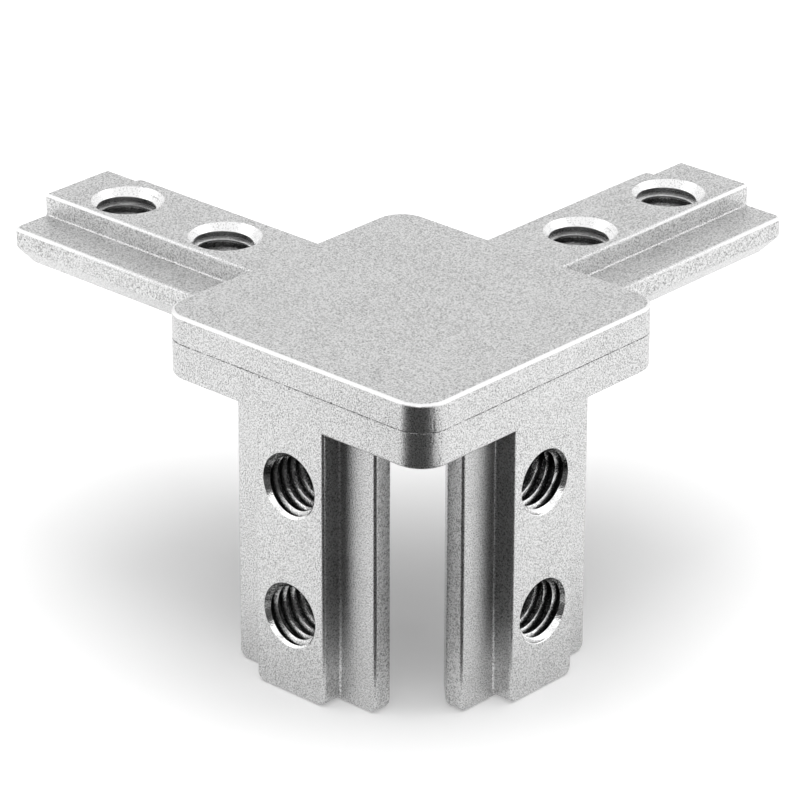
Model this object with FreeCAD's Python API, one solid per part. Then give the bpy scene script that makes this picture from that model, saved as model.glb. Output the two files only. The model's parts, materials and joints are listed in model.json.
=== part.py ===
import FreeCAD, Part
import os

from FreeCAD import Placement, Rotation, Vector

# Three way corner connector: one casting, in millimetres.
# A square cap closes the corner of a frame made of slotted profiles. Two arms
# leave it level, along +X and +Y, and slide into the top slots of two rails.
# Two legs hang from its -X and -Y sides and slide into two slots of the upright
# that ends under the cap. The origin is the middle of the cap's underside.

# Cap: as wide as the profiles that it joins
cap_width = 30.0
cap_corner_radius = 2.7

# Cross-section of an arm or a leg: a neck that fills the slot's mouth,
# and a flange that is trapped behind the slot's lips
neck_width = 7.8
neck_height = 2.0
flange_width = 15.8
flange_height = 3.8
flange_chamfer = 2.0

# Reach of the arms and legs, from the cap's faces to their free ends
arm_length = 25.3
leg_length = 25.2

# Roundings of the casting
edge_radius = 0.3
flange_end_radius = 0.8
arm_neck_end_radius = 0.3
leg_neck_end_radius = 0.8
chamfer_edge_radius = 0.5
inner_corner_radius = 0.2

# Tapped holes for set screws, drilled at the thread's core radius. Each arm and leg
# has one hole near the cap, at its root distance from the cap's face, and one near
# the free end, at its tip distance from there.
# A countersink is as deep as it is wide, because its wall slopes at 45 degrees.
hole_core_radius = 2.5
arm_root_distance = 6.8
arm_tip_distance = 6.5
leg_root_distance = 5.8
leg_tip_distance = 7.4
arm_countersink = 0.75
leg_countersink = 0.45

# The arms are exactly as deep as the cap is high, so both of their faces are flush
tongue_depth = neck_height + flange_height
cap_height = tongue_depth

# Each arm and leg runs this far into the cap, past the cap's rounded edges
root_overlap = 2 * edge_radius

# Lengths closer than this count as equal when edges are picked
tolerance = 1e-6


def ends(edge):
    """The end points of an edge."""
    return [vertex.Point for vertex in edge.Vertexes]


def lies_at(edge, axis, place):
    """True if both ends of the edge have the given coordinate along x, y or z."""
    return all(abs(getattr(point, axis) - place) < tolerance for point in ends(edge))


def is_level(edge):
    """True if the edge keeps one height."""
    return lies_at(edge, "z", ends(edge)[0].z)


def fillet(solid, radius, wanted):
    """The solid with a rounding on each edge that the test picks."""
    return solid.makeFillet(radius, [edge for edge in solid.Edges if wanted(edge)])


def cap():
    """The square block, with round corners and softened rims at its top and underside."""
    half = cap_width / 2
    block = Part.makeBox(cap_width, cap_width, cap_height, Vector(-half, -half, 0))
    block = fillet(block, cap_corner_radius, lambda edge: not is_level(edge))
    return fillet(block, edge_radius, is_level)


def bar(right_half, length):
    """A bar along +X from x = 0 whose section mirrors the points (y, z) of its right half."""
    left_half = [(-y, z) for y, z in reversed(right_half)]
    outline = [Vector(0, y, z) for y, z in right_half + left_half]
    section = Part.Face(Part.makePolygon(outline + outline[:1]))
    return section.extrude(Vector(length, 0, 0))


def soften_bar(solid, length, end_radius, rim_heights):
    """Round the corners of the bar's free end, then the rims at the given heights."""
    def at_end_corner(edge):
        return lies_at(edge, "x", length) and not is_level(edge)

    def on_rim(edge):
        at_height = any(lies_at(edge, "z", height) for height in rim_heights)
        return at_height and not lies_at(edge, "x", 0)

    return fillet(fillet(solid, end_radius, at_end_corner), edge_radius, on_rim)


def neck(length, end_radius):
    """The narrow bar in the slot's mouth, sunk into the middle of the flange."""
    side = neck_width / 2
    foot = -(neck_height + flange_height / 2)
    return soften_bar(bar([(side, 0), (side, foot)], length), length, end_radius, [0])


def flange(length):
    """The wide bar behind the slot's lips, with its far corners cut off."""
    side = flange_width / 2
    chamfer_start = flange_chamfer - tongue_depth

    def along_chamfer_start(edge):
        return lies_at(edge, "z", chamfer_start) and not lies_at(edge, "x", ends(edge)[0].x)

    corners = [
        (side, -neck_height),
        (side, chamfer_start),
        (side - flange_chamfer, -tongue_depth),
    ]
    solid = fillet(bar(corners, length), chamfer_edge_radius, along_chamfer_start)
    return soften_bar(solid, length, flange_end_radius, [-neck_height, -tongue_depth])


def tongue(length, neck_end_radius):
    """An arm or leg along +X from x = 0, with the top of its neck at z = 0."""
    def in_inner_corner(edge):
        reach = [abs(point.y) - neck_width / 2 for point in ends(edge)]
        return lies_at(edge, "z", -neck_height) and max(map(abs, reach)) < tolerance

    solid = neck(length, neck_end_radius).fuse(flange(length)).removeSplitter()
    return fillet(solid, inner_corner_radius, in_inner_corner)


def hole_cutter(countersink):
    """The drill for one tapped hole: a core that goes right through, and its countersink."""
    core = Part.makeCylinder(hole_core_radius, tongue_depth, Vector(0, 0, -tongue_depth))
    mouth = Part.makeCone(hole_core_radius, hole_core_radius + countersink, countersink)
    mouth.translate(Vector(0, 0, -countersink))
    return core.fuse(mouth)


def drilled_tongue(length, neck_end_radius, hole_places, countersink):
    """A tongue whose root is sunk in the cap's face at x = 0, with a tapped hole at each place."""
    solid = tongue(length + root_overlap, neck_end_radius)
    solid.translate(Vector(-root_overlap, 0, 0))
    for place in hole_places:
        cutter = hole_cutter(countersink)
        cutter.translate(Vector(place, 0, 0))
        solid = solid.cut(cutter)
    return solid


def placed(solid, root, along, outward):
    """Turn a tongue so that it runs along one direction with its neck facing another."""
    turn = Rotation(along, outward.cross(along), outward, "XZY")
    result = solid.copy()
    result.Placement = Placement(root, turn)
    return result


def corner_connector():
    """The whole casting: the cap with its two arms and two legs."""
    half = cap_width / 2
    east, north, up = Vector(1, 0, 0), Vector(0, 1, 0), Vector(0, 0, 1)
    arm_holes = [arm_root_distance, arm_length - arm_tip_distance]
    leg_holes = [leg_root_distance, leg_length - leg_tip_distance]
    arm = drilled_tongue(arm_length, arm_neck_end_radius, arm_holes, arm_countersink)
    leg = drilled_tongue(leg_length, leg_neck_end_radius, leg_holes, leg_countersink)
    tongues = [
        placed(arm, Vector(half, 0, cap_height), east, up),
        placed(arm, Vector(0, half, cap_height), north, up),
        placed(leg, Vector(-half, 0, 0), -up, -east),
        placed(leg, Vector(0, -half, 0), -up, -north),
    ]
    return cap().fuse(tongues).removeSplitter()


os.makedirs("parts", exist_ok=True)
casting = corner_connector()
casting.exportStep("parts/corner_connector.step")
print("corner_connector: solids", len(casting.Solids), "volume mm3", round(casting.Volume, 1))
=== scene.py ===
# %% [markdown]
# # A cast corner connector for slotted profiles
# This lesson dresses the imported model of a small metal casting: a square cap with
# two level arms and two hanging legs, each with two tapped holes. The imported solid
# already has the right form, so it is loaded first and measured, and everything
# after that is added around it in the same frame, in metres.

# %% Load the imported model
import json
from math import cos, pi, radians, sin, tan

import bmesh
import bpy
from mathutils import Matrix, Quaternion, Vector


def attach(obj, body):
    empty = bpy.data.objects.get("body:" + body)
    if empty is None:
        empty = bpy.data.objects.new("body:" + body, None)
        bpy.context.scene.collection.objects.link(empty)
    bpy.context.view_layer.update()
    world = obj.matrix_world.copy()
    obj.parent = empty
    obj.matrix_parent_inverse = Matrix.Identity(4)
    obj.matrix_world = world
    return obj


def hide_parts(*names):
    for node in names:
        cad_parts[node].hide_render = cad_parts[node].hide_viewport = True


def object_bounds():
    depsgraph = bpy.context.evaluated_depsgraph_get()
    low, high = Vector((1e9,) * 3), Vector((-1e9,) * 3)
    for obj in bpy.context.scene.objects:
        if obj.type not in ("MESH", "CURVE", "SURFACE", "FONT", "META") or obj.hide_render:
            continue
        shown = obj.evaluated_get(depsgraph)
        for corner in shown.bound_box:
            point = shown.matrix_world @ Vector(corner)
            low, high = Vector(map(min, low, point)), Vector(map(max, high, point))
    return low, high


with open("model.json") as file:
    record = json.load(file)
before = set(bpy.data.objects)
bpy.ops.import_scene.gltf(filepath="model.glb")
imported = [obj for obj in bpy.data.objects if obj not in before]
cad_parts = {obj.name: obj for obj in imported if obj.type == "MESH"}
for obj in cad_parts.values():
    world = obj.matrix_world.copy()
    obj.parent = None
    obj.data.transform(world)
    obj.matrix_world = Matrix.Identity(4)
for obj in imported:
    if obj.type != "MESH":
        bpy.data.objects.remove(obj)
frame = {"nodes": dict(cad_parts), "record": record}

mm = 0.001
cad_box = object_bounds()
low, high = (Vector(corner) for corner in cad_box)
print("overall size in mm:", [round(side / mm, 2) for side in high - low])

# %% [markdown]
# ## The camera
# The photo was taken from in front of the corner between the two legs, looking down
# at about 25 degrees, with a long lens that keeps the upright edges almost parallel.
# A long lens is a large focal length far away. The camera is placed by its angle
# around the part and its distance, as one would set it up on a tripod. The two level
# directions across and along the view are kept, because the floor and the lamps are
# laid out along them too.

# %% Camera
camera_azimuth = radians(-47.672)
camera_elevation = radians(24.734)
camera_roll = radians(0.204)
camera_distance = 400.92 * mm
camera_aim = Vector((-0.295, 0.998, -3.215)) * mm
sensor_width_mm = 36
focal_length_mm = 213.15
nearest_seen = 1 * mm
farthest_seen = 10

rightward = Vector((cos(camera_azimuth), sin(camera_azimuth), 0))
away = Vector((-sin(camera_azimuth), cos(camera_azimuth), 0))
upward = Vector((0, 0, 1))

lens_data = bpy.data.cameras.new("camera")
lens_data.sensor_width = sensor_width_mm
lens_data.lens = focal_length_mm
lens_data.clip_start = nearest_seen
lens_data.clip_end = farthest_seen
camera = bpy.data.objects.new("camera", lens_data)
bpy.context.collection.objects.link(camera)
bpy.context.scene.camera = camera
bpy.context.scene.view_settings.view_transform = "Standard"

backward = upward * sin(camera_elevation) - away * cos(camera_elevation)
camera.location = camera_aim + backward * camera_distance
level_view = backward.to_track_quat("Z", "Y")
camera.rotation_euler = (level_view @ Quaternion(upward, camera_roll)).to_euler()
print("camera stands at mm:", [round(place / mm, 1) for place in camera.location])

# %% [markdown]
# ## Where the tapped holes are
# The record lists each pair of tapped holes as a bolt pattern: its middle, the
# direction that the screws leave in, and the spacing along one of the two other axes.
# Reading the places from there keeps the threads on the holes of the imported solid.

# %% Places of the tapped holes
tongue_depth = 5.8 * mm
cap_half = 15 * mm

def opens_up(outward):
    """True for a hole in an arm. The holes in the legs open sideways."""
    return round(outward.z) == 1

def hole_mouths(mount):
    """Middle of each hole's mouth and its outward direction, from one bolt pattern."""
    outward = Vector(mount["axis"])
    first_axis, second_axis = [axis for axis in range(3) if round(outward[axis]) == 0]
    spacing = mount["dims"]
    key, axis = ("spacing_x_mm", first_axis) if "spacing_x_mm" in spacing else ("spacing_y_mm", second_axis)
    step = Vector((0, 0, 0))
    step[axis] = spacing[key] * mm / 2
    middle = Vector(mount["pos_m"])
    surface = tongue_depth if opens_up(outward) else cap_half
    middle += outward * (surface - middle.dot(outward))
    return [(middle - step, outward), (middle + step, outward)]

patterns = [mount for mount in frame["record"]["mounts"] if mount["kind"] == "bolt_pattern"]
mouths = [place for mount in patterns for place in hole_mouths(mount)]
print("tapped holes:", len(mouths))

# %% [markdown]
# ## The casting's mesh
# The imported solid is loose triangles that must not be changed, so the dressed casting
# starts as a copy whose doubled corners are merged. One object is enough, because
# the real thing is poured in one piece.

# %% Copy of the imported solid
merge_distance = 0.0002 * mm

node = frame["nodes"]["corner_connector"]
casting_mesh = node.data.copy()
casting_mesh.name = "casting"
casting_mesh.materials.clear()
casting_mesh.transform(node.matrix_world)
casting = bpy.data.objects.new("casting", casting_mesh)
bpy.context.collection.objects.link(casting)

metal = bmesh.new()
metal.from_mesh(casting_mesh)
bmesh.ops.remove_doubles(metal, verts=metal.verts, dist=merge_distance)
print("casting before the details:", len(metal.verts), "corners,", len(metal.faces), "faces")

# %% [markdown]
# ## The parting line
# Where the two halves of the mould met, a fine line runs around the cap. On the
# photo it is a thin dark line on the flat sides and a thin pale one on the dark
# front corner, as a shallow groove would show. Three level cuts around the cap's
# sides give the groove its rims and its bottom, and the bottom is pushed in.

# %% Parting line
parting_height = 3.25 * mm
groove_half_width = 0.07 * mm
groove_depth = 0.05 * mm
side_depth = 3 * mm
level_tolerance = 0.01

def is_upright(face):
    """True for a face that neither leans forward nor back."""
    return abs(face.normal.z) < level_tolerance

def on_cap_side(point):
    """True near the cap's four sides, round corners included, and not out along the arms."""
    reach = max(abs(point.x), abs(point.y))
    return cap_half - side_depth < reach < cap_half + merge_distance

def is_cut_at(face, height):
    """True for a face that has corners below and above a height."""
    heights = [vert.co.z for vert in face.verts]
    return min(heights) < height < max(heights)

for offset in (-groove_half_width, 0, groove_half_width):
    height = parting_height + offset
    sides = [face for face in metal.faces
             if is_upright(face) and is_cut_at(face, height) and on_cap_side(face.calc_center_median())]
    edges = {edge for face in sides for edge in face.edges}
    verts = {vert for face in sides for vert in face.verts}
    bmesh.ops.bisect_plane(metal, geom=[*sides, *edges, *verts], dist=merge_distance,
                           plane_co=upward * height, plane_no=upward)

def on_parting_line(vert):
    """True at the height of the parting line."""
    return abs(vert.co.z - parting_height) < merge_distance

bottom = [vert for vert in metal.verts
          if on_parting_line(vert) and on_cap_side(vert.co) and all(map(is_upright, vert.link_faces))]
for vert in bottom:
    normal = sum((face.normal for face in vert.link_faces), Vector((0, 0, 0))).normalized()
    vert.co -= normal * groove_depth
print("groove corners:", len(bottom))

metal.to_mesh(casting_mesh)
metal.free()

# %% [markdown]
# ## The threads
# The holes are tapped for set screws with one ridge per millimetre. A tap cuts a
# V-shaped groove that winds down the wall, so the same is done here: the section of
# the groove is turned around the axis while it moves along, which makes a coil,
# and the coil is taken away from the casting. Sharp flanks catch the light as the
# real threads do, which a bump pattern can't at this size.

# %% Thread coil
thread_pitch = 1 * mm
core_radius = 2.5 * mm
root_radius = 2.88 * mm
flank_angle = radians(30)
groove_mouth = 0.83 * thread_pitch
inner_radius = core_radius - 0.1 * mm
coil_overrun = thread_pitch
steps_per_turn = 48

def width_at(radius):
    """Width of the thread's groove, which narrows from the core towards the root."""
    return groove_mouth - 2 * (radius - core_radius) * tan(flank_angle)

def coil_on_z():
    """A closed coil of the groove's section, from below a hole's far face to above its mouth at zero."""
    coil = bmesh.new()
    start = -tongue_depth - coil_overrun
    turns = round((tongue_depth + 2 * coil_overrun) / thread_pitch)
    section = [(inner_radius, -1), (root_radius, -1), (root_radius, 1), (inner_radius, 1)]
    corners = [coil.verts.new((radius, 0, start + side * width_at(radius) / 2)) for radius, side in section]
    ring = [coil.edges.new((corners[i - 1], corners[i])) for i in range(len(corners))]
    spun = bmesh.ops.spin(coil, geom=corners + ring, cent=(0, 0, 0), axis=upward,
                          dvec=upward * thread_pitch / steps_per_turn, angle=2 * pi * turns,
                          steps=steps_per_turn * turns)
    far_ring = [item for item in spun["geom_last"] if isinstance(item, bmesh.types.BMEdge)]
    for rim in (ring, far_ring):
        bmesh.ops.contextual_create(coil, geom=rim)
    bmesh.ops.recalc_face_normals(coil, faces=coil.faces)
    mesh = bpy.data.meshes.new("thread_coil")
    coil.to_mesh(mesh)
    coil.free()
    return mesh

one_coil = coil_on_z()
print("one coil:", len(one_coil.polygons), "faces")

# %% [markdown]
# ## One coil for each hole
# A tap starts to bite anywhere on the rim, so the ridges stand differently in each
# hole. Each coil is turned by its own share of a turn, read off the photo, then
# stood on its hole's mouth. The order is that of the record: the arm along X, the
# arm along Y, then each leg's lower and upper hole.

# %% A coil in each hole
start_turns = [0.85, 0.75, 0.8, 0.9, 0.46, 0.5, 0.87, 0.83]

coils = bmesh.new()
for (mouth, outward), start_turn in zip(mouths, start_turns):
    turn = Matrix.Rotation(2 * pi * start_turn, 4, "Z")
    place = Matrix.Translation(mouth) @ outward.to_track_quat("Z", "Y").to_matrix().to_4x4()
    turned = one_coil.copy()
    turned.transform(place @ turn)
    coils.from_mesh(turned)
coil_mesh = bpy.data.meshes.new("thread_coils")
coils.to_mesh(coil_mesh)
coils.free()
coil_object = bpy.data.objects.new("thread_coils", coil_mesh)
bpy.context.collection.objects.link(coil_object)
print("all coils:", len(coil_mesh.polygons), "faces")

# %% [markdown]
# ## Cutting the threads
# A boolean takes the coils away from the casting. The exact solver is the right one
# here, because the coils graze the walls of the holes and their ridges are thin.

# %% Cut the threads
def cut_away(piece, cutter):
    """Take the cutter's solid away from the piece, and delete the cutter."""
    cut = piece.modifiers.new("cut", "BOOLEAN")
    cut.operation = "DIFFERENCE"
    cut.solver = "EXACT"
    cut.object = cutter
    finished = piece.evaluated_get(bpy.context.evaluated_depsgraph_get())
    cut_mesh = bpy.data.meshes.new_from_object(finished)
    piece.modifiers.remove(cut)
    piece.data = cut_mesh
    bpy.data.objects.remove(cutter)

cut_away(casting, coil_object)
casting.data.name = "casting"
print("casting with threads:", len(casting.data.polygons), "faces")

# %% [markdown]
# ## Which metal is cut
# The blasted skin of the casting stops where the drill and the tap went, and the
# bare metal there is brighter. A face belongs to a hole if it lies within the hole's
# rim and isn't part of the flat skin around it.

# %% Cut metal
arm_rim_radius = 3.25 * mm
leg_rim_radius = 2.95 * mm
end_margin = 0.1 * mm
flat_with_skin = 0.99

def from_mouth(point):
    """A point's depth in the nearest hole, its distance from the axis, and the hole's way out and mouth."""
    mouth, outward = min(mouths, key=lambda place: (point - place[0]).length)
    reach = point - mouth
    depth = -reach.dot(outward)
    return depth, (reach + outward * depth).length, outward, mouth

def in_hole(face):
    """True for a face inside one hole."""
    depth, radius, outward, mouth = from_mouth(face.calc_center_median())
    rim_radius = arm_rim_radius if opens_up(outward) else leg_rim_radius
    along_skin = abs(face.normal.dot(outward)) > flat_with_skin
    return -end_margin < depth < tongue_depth + end_margin and radius < rim_radius and not along_skin

# %% [markdown]
# ## The painted shade of the threads
# Inside a hole, metal mirrors metal again and again, so the threads look almost
# black, with bright lines where a flank faces out. A simple room doesn't give all of
# that, so part of it is painted into the metal's own colour as shade and highlight:
# the flanks that face out are painted bright, the ones behind them dull and the
# bottoms of the grooves almost black. The legs' holes are painted darker towards their
# tops, and the arms' with depth. One number at each corner of a face says all of that,
# and the material reads it.

# %% Darkness of the threads
countersink_slope = cos(radians(45))
slope_tolerance = 0.08
# Painted shade: how dark each part of a hole is painted; the arms' holes get less of it near the mouth
countersink_shade = 0.65
countersink_shade_from, countersink_shade_to = -0.2, 0.133
leg_shade = 0.45
leg_shade_from = -0.32
arm_brightening = 0.75
arm_shade_per_mm = 0.2
outward_slope = 0.5
outer_flank_shade, outer_flank_rise = 0.12, 0.35
inner_flank_shade, inner_flank_rise = 0.6, 0.3

def share(value, start, end):
    """How far a value has come from the start to the end, from 0 to 1."""
    return min(max(0, (value - start) / (end - start)), 1)

def countersink_darkness(height, outward):
    """Painted shade: the legs' countersinks are painted dull above the middle, and the arms' are left
    bright all round.
    """
    if opens_up(outward):
        return 0
    return countersink_shade * share(height, countersink_shade_from, countersink_shade_to)

def darkness(face, vert):
    """How much painted shade cut metal gets at one corner of a face: 0 is bright and 1 is black."""
    depth, radius, outward, mouth = from_mouth(vert.co)
    facing_out = face.normal.dot(outward)
    height = (vert.co - mouth).z / radius
    if abs(facing_out - countersink_slope) < slope_tolerance:
        return countersink_darkness(height, outward)
    if opens_up(outward):
        shade = min(0, arm_shade_per_mm * depth / mm - arm_brightening)
    else:
        shade = leg_shade * max(0, height - leg_shade_from)
    in_groove = share(radius, core_radius, root_radius)
    if facing_out > outward_slope:
        return shade + outer_flank_shade + outer_flank_rise * in_groove
    return shade + inner_flank_shade + inner_flank_rise * in_groove

# %% [markdown]
# ## Painted highlights on the rims, and crisp edges
# On the photo the upper rims of the cap, the necks and the flanges are bright lines.
# Lamps strong enough for that would turn the cap's top white from other sides, so the
# small outer roundings that look up get a painted highlight: a lighter base colour.
# The numbers for the rims, the threads and the parting line are stored at the face
# corners. Then edges sharper than a rounding's steps are kept crisp, and flat faces
# are given the say over the direction of their corners, so that they shade flat.

# %% Mark the faces
crisp_angle = radians(38)
least_bend = radians(3)
least_rim_slope, most_rim_slope = 0.2, 0.98
most_corners = 4
flat_face_weight = 50

def bends(edge):
    """True for an edge where two faces meet at an angle."""
    return len(edge.link_faces) == 2 and edge.calc_face_angle() > least_bend

def on_upper_rim(face):
    """True for a face of a small outer rounding that looks up."""
    slopes_up = least_rim_slope < face.normal.z < most_rim_slope
    at_groove = abs(face.calc_center_median().z - parting_height) < 2 * groove_half_width
    return slopes_up and not at_groove and all(edge.is_convex for edge in face.edges if bends(edge))

metal = bmesh.new()
metal.from_mesh(casting.data)
bmesh.ops.remove_doubles(metal, verts=metal.verts, dist=merge_distance)
bmesh.ops.dissolve_degenerate(metal, edges=metal.edges, dist=merge_distance)
painted_shade = metal.loops.layers.float.new("painted_shade")
painted_rim_highlight = metal.loops.layers.float.new("painted_rim_highlight")
for face in metal.faces:
    face.smooth = True
    is_cut = in_hole(face)
    face.material_index = int(is_cut)
    # Painted highlight on the small outer roundings that look up
    gets_highlight = float(not is_cut and on_upper_rim(face))
    for loop in face.loops:
        # Painted shade: cut faces get the threads' painted darkness, and the skin gets 1 at the bottom of
        # the parting line
        loop[painted_shade] = darkness(face, loop.vert) if is_cut else float(on_parting_line(loop.vert))
        loop[painted_rim_highlight] = gets_highlight
for edge in metal.edges:
    edge.smooth = len(edge.link_faces) == 2 and edge.calc_face_angle() < crisp_angle
open_edges = sum(len(edge.link_faces) != 2 for edge in metal.edges)
bmesh.ops.triangulate(metal, faces=[face for face in metal.faces if len(face.verts) > most_corners])
print("cut faces:", sum(face.material_index for face in metal.faces), "open edges:", open_edges)
metal.to_mesh(casting.data)
metal.free()

weighting = casting.modifiers.new("flat faces lead", "WEIGHTED_NORMAL")
weighting.keep_sharp = True
weighting.weight = flat_face_weight
weighting.mode = "FACE_AREA_WITH_ANGLE"

# %% [markdown]
# ## Writing materials as sums
# A small class stands for one number that varies over a surface. Adding or
# multiplying two of them adds the Math node that does so, which reads far better
# than a list of links. A second class adds any other node, and a third one holds
# a material.

# %% Helpers for materials
class Value:
    """A number on a surface: an output socket that can be used in sums."""

    def __init__(self, maker, socket):
        self.maker = maker
        self.socket = socket

    def maths(self, operation, *numbers):
        return self.maker.node("ShaderNodeMath", {"operation": operation}, dict(enumerate(numbers)))

    def __add__(self, other):
        return self.maths("ADD", self, other)

    def __sub__(self, other):
        return self.maths("SUBTRACT", self, other)

    def __rsub__(self, other):
        return self.maths("SUBTRACT", other, self)

    def __mul__(self, other):
        return self.maths("MULTIPLY", self, other)

    __radd__ = __add__
    __rmul__ = __mul__


class Nodes:
    """A node tree, and the one way to add nodes to it."""

    def __init__(self, tree):
        self.tree = tree

    def feed(self, socket, value):
        """Link a varying value to a socket, or set the socket to a plain one."""
        if isinstance(value, Value):
            self.tree.links.new(value.socket, socket)
        else:
            socket.default_value = value

    def node(self, kind, settings=None, sockets=None, output=0):
        """Add a node of any kind with its settings and inputs, and return one output."""
        made = self.tree.nodes.new(kind)
        for name, value in (settings or {}).items():
            setattr(made, name, value)
        for name, value in (sockets or {}).items():
            self.feed(made.inputs[name], value)
        return Value(self, made.outputs[output])

    def ramp(self, value, start, end):
        """From 0 at the start to 1 at the end, with an easy rise in between."""
        return self.node("ShaderNodeMapRange", {"interpolation_type": "SMOOTHSTEP"},
                         {"Value": value, "From Min": start, "From Max": end})

    def distance(self, place, middle):
        """How far a place is from a point."""
        return self.node("ShaderNodeVectorMath", {"operation": "DISTANCE"},
                         {0: place, 1: middle}, output="Value")

    def ray_is(self, *kinds):
        """1 for rays of the given kinds, and 0 for the others."""
        return sum(self.node("ShaderNodeLightPath", output=f"Is {kind} Ray") for kind in kinds)


class Finish(Nodes):
    """A material whose shader takes plain values by name."""

    def __init__(self, name, **shader_values):
        self.material = bpy.data.materials.new(name)
        self.material.use_nodes = True
        super().__init__(self.material.node_tree)
        self.shader = self.tree.nodes["Principled BSDF"]
        for socket, value in shader_values.items():
            self.shader.inputs[socket.replace("_", " ")].default_value = value

    def vary(self, socket, value):
        """Let a varying value drive one input of the shader."""
        self.feed(self.shader.inputs[socket], value)

    def place(self):
        """Where the point is on the piece, in metres."""
        return self.node("ShaderNodeTexCoord", output="Object")

    def stored(self, name):
        """A number that was stored at the face corners."""
        return self.node("ShaderNodeAttribute", {"attribute_name": name}, output="Fac")

    def noise(self, place, grain_size):
        """Smooth random values from 0 to 1 whose lumps are about as wide as the grain size."""
        return self.node("ShaderNodeTexNoise", {}, {"Vector": place, "Scale": 1 / grain_size})

    def relief(self, height, depth):
        """Let the surface look as if it rose and fell by a small depth."""
        self.vary("Normal", self.node("ShaderNodeBump", {}, {"Distance": depth, "Height": height}))

    def mix(self, amount, first, second):
        """A colour between two others, from the first at 0 to the second at 1."""
        return self.node("ShaderNodeMix", {"data_type": "RGBA"},
                         {0: amount, "A": first, "B": second}, output=2)


def grey(level):
    """A neutral colour."""
    return (level, level, level, 1)

# %% [markdown]
# ## The blasted skin
# The casting looks blasted with fine grit, which leaves a silvery skin full of tiny
# facets. Each one mirrors another part of the room, so the skin glitters with a
# grain as fine as a tenth of a millimetre. Metal has no colour under its reflections,
# so the base colour is the share of light that it gives back. A broad cloud keeps
# large faces from looking even. The bottom of the parting line gets painted shade,
# broken up by grit, and a few tiny pits where the real part has them are painted as
# dark spots of shade with no dent. The upturned rims get a painted highlight.

# %% Blasted metal
fine_grain_size = 0.117 * mm
coarse_grain_size = 0.33 * mm
cloud_size = 5 * mm
grit_size = 0.5 * mm
grain_depth = 0.04 * mm
fine_share = 0.7
dark_skin, light_skin, painted_highlight_tone = 0.05, 0.74, 0.93
usual_tone = 0.79
grain_contrast = 2.8
cloud_contrast = 0.2
seam_shade_strength = 0.8
grit_from, grit_to = 0.3, 0.5
least_roughness = 0.28
roughness_spread = 0.06
pit_radius = 0.11 * mm
pit_core = 0.4
cap_side, cap_top, arm_side = -15.0, 5.8, -7.9
pit_places_mm = [(cap_side, 5.37, 3.29), (cap_side, 4.8, 3.24), (cap_side, 3.31, 3.11),
                 (cap_side, -0.1, 3.09), (cap_side, -4.81, 3.31), (-6.27, 4.69, cap_top),
                 (arm_side, 38.72, 3.03), (arm_side, 35.29, 3.09)]

blasted = Finish("blasted_metal", Metallic=1.0)
skin = blasted.place()
fine_grain = blasted.noise(skin, fine_grain_size)
coarse_grain = blasted.noise(skin, coarse_grain_size)
cloud = blasted.noise(skin, cloud_size)
blasted.relief(fine_grain * fine_share + coarse_grain * (1 - fine_share), grain_depth)

def pit(place_mm):
    """Painted shade of a tiny round pit: 1 in its middle, and 0 around it."""
    reach = blasted.distance(skin, Vector(place_mm) * mm)
    return 1 - blasted.ramp(reach, pit_core * pit_radius, pit_radius)

speckle = (fine_grain - 0.5) * grain_contrast + (cloud - 0.5) * cloud_contrast
grit = blasted.ramp(blasted.noise(skin, grit_size), grit_from, grit_to)
# Painted shade: the bottom of the parting line's groove is darkened, broken up by grit
painted_seam_shade = blasted.stored("painted_shade") * grit * seam_shade_strength
# Painted shade: tiny pits as dark spots, with no dent in the surface
painted_pit_shade = sum(pit(place_mm) for place_mm in pit_places_mm)
skin_colour = blasted.mix(usual_tone + speckle - painted_seam_shade - painted_pit_shade, grey(dark_skin), grey(light_skin))
# Painted highlight: upturned roundings get a lighter base colour
blasted.vary("Base Color", blasted.mix(blasted.stored("painted_rim_highlight"), skin_colour, grey(painted_highlight_tone)))
blasted.vary("Roughness", least_roughness + cloud * roughness_spread)
print("blasted metal:", len(blasted.tree.nodes), "nodes")

# %% [markdown]
# ## The cut metal
# The drill, the countersink and the tap leave bare bright metal with fine turning
# marks. It is smoother than the skin, so it shows the lamps as white crescents.
# The marks also break up the line between the bright parts of a thread and the painted shade of its dark
# parts.

# %% Bare metal
marks_size = 0.15 * mm
marks_depth = 0.015 * mm
marks_contrast = 1.2
shade_black_tone, bright_metal = 0.03, 0.93
black_from = 0.8
cut_roughness = 0.16
cut_roughness_spread = 0.1

cut = Finish("cut_metal", Metallic=1.0)
marks = cut.noise(cut.place(), marks_size)
cut.relief(marks, marks_depth)
# Painted shade of the threads, read from the face corners, darkens the bare metal towards black
groove = cut.ramp(cut.stored("painted_shade"), 0, black_from)
darkened = groove + (marks - 0.5) * marks_contrast
cut.vary("Base Color", cut.mix(darkened, grey(bright_metal), grey(shade_black_tone)))
cut.vary("Roughness", cut_roughness + marks * cut_roughness_spread)
print("cut metal:", len(cut.tree.nodes), "nodes")

# %% [markdown]
# ## The casting takes the solid's place
# The skin comes first in the list of materials and the cut metal second, because the
# faces were marked in that order. The finished casting then takes the packed solid's
# place: it hangs from the root body, and the solid is hidden.

# %% Put the casting in place
casting.data.materials.append(blasted.material)
casting.data.materials.append(cut.material)
print("finishes on the casting:", [material.name for material in casting.data.materials])

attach(casting, "root")
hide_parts("corner_connector")

# %% [markdown]
# ## The floor
# The photo was taken on a white sweep. The floor is pale paper that keeps the part's
# soft shadow. Away from the part, rays from the camera or from a mirror see it glow a
# little, which makes the open background white without more light on the part.

# %% Floor
floor_radius = 1.5
floor_segments = 64
floor_gap = 0.02 * mm
paper_tone = 0.84
paper_glow = 0.55
glow_free_middle = rightward * -2 * mm + away * 12 * mm
glow_from, glow_to = 14 * mm, 56 * mm

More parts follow.
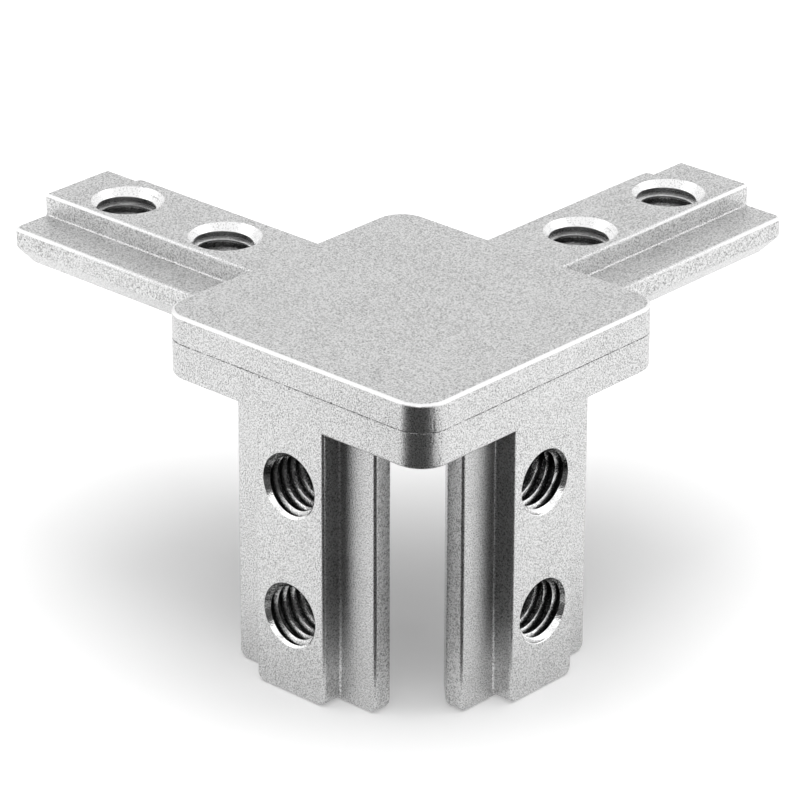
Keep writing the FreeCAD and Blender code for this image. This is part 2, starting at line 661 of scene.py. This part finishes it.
floor_shape = bmesh.new()
bmesh.ops.create_circle(floor_shape, cap_ends=True, segments=floor_segments, radius=floor_radius)
bmesh.ops.translate(floor_shape, verts=floor_shape.verts, vec=upward * (low.z - floor_gap))
floor_mesh = bpy.data.meshes.new("floor")
floor_shape.to_mesh(floor_mesh)
floor_shape.free()
floor = bpy.data.objects.new("floor", floor_mesh)
bpy.context.collection.objects.link(floor)

paper = Finish("paper", Base_Color=grey(paper_tone), Emission_Color=grey(1), Roughness=1.0)
# Painted light: the glow fades in from 14 mm to 56 mm around a point near the part, so it also lightens the
# outer part of the real shadow and sets how far it reaches
far_off = paper.ramp(paper.distance(paper.place(), glow_free_middle), glow_from, glow_to)
seen = paper.ray_is("Camera", "Glossy", "Transmission")
paper.vary("Emission Strength", seen * far_off * paper_glow)
floor_mesh.materials.append(paper.material)
print("floor lies at mm:", round((low.z - floor_gap) / mm, 2))

# %% [markdown]
# ## The room
# Metal shows the room around it, so rays that come straight from the camera, a
# mirror or a glass see a white room. The light that the room spreads on the floor is
# much weaker, because a strong one would wash out the shadow.

# %% World
room_light = 0.12
shown_light = 1.0

world = bpy.data.worlds.new("studio")
bpy.context.scene.world = world
world.use_nodes = True
sky = Nodes(world.node_tree)
background = sky.tree.nodes["Background"]
background.inputs["Color"].default_value = grey(1)
direct = sky.ray_is("Camera", "Glossy", "Transmission")
sky.feed(background.inputs["Strength"], room_light + direct * (shown_light - room_light))
print("room light on the floor:", room_light)

# %% [markdown]
# ## The lamps
# Two large soft lamps at the sides, together with the painted highlight on the rims,
# put the bright lines on the rims, and they lighten the channels of the arms. A weak
# reflector over the camera lights the countersinks, and it is seen in metal only. A
# wide lamp overhead makes the soft shadow, and only the floor sees it, so that the top
# of the cap doesn't turn white from any side.

# %% Lamps
lamp_distance = 0.6

def softbox(name, azimuth, elevation, width, height, radiance):
    """A rectangular lamp that faces the part. Its azimuth is 0 on the camera's right,
    90 behind the part and 270 over the camera. Radiance is how bright its face looks,
    with 1 as white."""
    data = bpy.data.lights.new(name, "AREA")
    data.shape = "RECTANGLE"
    data.size = width
    data.size_y = height
    data.energy = radiance * pi * width * height
    lamp = bpy.data.objects.new(name, data)
    level = rightward * cos(radians(azimuth)) + away * sin(radians(azimuth))
    outward = level * cos(radians(elevation)) + upward * sin(radians(elevation))
    lamp.location = outward * lamp_distance
    lamp.rotation_euler = outward.to_track_quat("Z", "Y").to_euler()
    bpy.context.collection.objects.link(lamp)
    print(name, "gives", round(data.energy, 3), "watts")
    return lamp

softbox("left_side", azimuth=180, elevation=36, width=0.44, height=0.42, radiance=0.55)
softbox("right_side", azimuth=2, elevation=36, width=0.44, height=0.42, radiance=0.6)
reflector = softbox("over_camera", azimuth=272, elevation=33, width=0.60, height=0.26, radiance=0.45)
reflector.visible_diffuse = False
overhead = softbox("overhead", azimuth=90, elevation=90, width=0.70, height=0.70, radiance=2.3)
overhead.visible_glossy = False

# %% [markdown]
# ## A dark card seen only in mirrors
# The front corner and the channels of the legs look dark, as if they mirrored
# something dark in front of the part. A black card paints that dark reflection: a level
# fan on the floor in front of the corner that ends in an upright wall, with a
# smaller and wider fan close to the part. Only mirrors see it, so it darkens neither
# the floor nor the light. Each fan is a line that is spun around the corner.

# %% Dark card seen only in mirrors
fan_middle = Vector((-12.3, -12.3, 0)) * mm
fan_lift = 1 * mm
fan_steps = 24
near_start, near_end, far_end = 2 * mm, 45 * mm, 600 * mm
wall_height = 230 * mm
card_tone = 0.055

def spin_fan(shape, profile, start, angle):
    """Spin a line of (reach, height) points around the vertical, from one direction through an angle."""
    ahead = Vector((cos(radians(start)), sin(radians(start)), 0))
    corners = [shape.verts.new(ahead * reach + upward * height) for reach, height in profile]
    lines = [shape.edges.new(pair) for pair in zip(corners, corners[1:])]
    bmesh.ops.spin(shape, geom=corners + lines, cent=(0, 0, 0), axis=upward,
                   angle=radians(angle), steps=fan_steps)

fan = bmesh.new()
spin_fan(fan, [(near_end, 0), (far_end, 0), (far_end, wall_height)], start=157, angle=107)
spin_fan(fan, [(near_start, 0), (near_end, 0)], start=147, angle=153)
bmesh.ops.translate(fan, verts=fan.verts, vec=fan_middle + upward * (low.z + fan_lift))
fan_mesh = bpy.data.meshes.new("mirror_only_card")
fan.to_mesh(fan_mesh)
fan.free()
mirror_only_card = bpy.data.objects.new("mirror_only_card", fan_mesh)
bpy.context.collection.objects.link(mirror_only_card)
# Painted dark reflection: a near-black card that only mirrors see
black = Finish("black_card", Base_Color=grey(card_tone), Roughness=1.0)
fan_mesh.materials.append(black.material)
mirror_only_card.visible_camera = False
mirror_only_card.visible_diffuse = False
mirror_only_card.visible_transmission = False
mirror_only_card.visible_volume_scatter = False
mirror_only_card.visible_shadow = False
print("dark card:", len(fan_mesh.polygons), "faces")
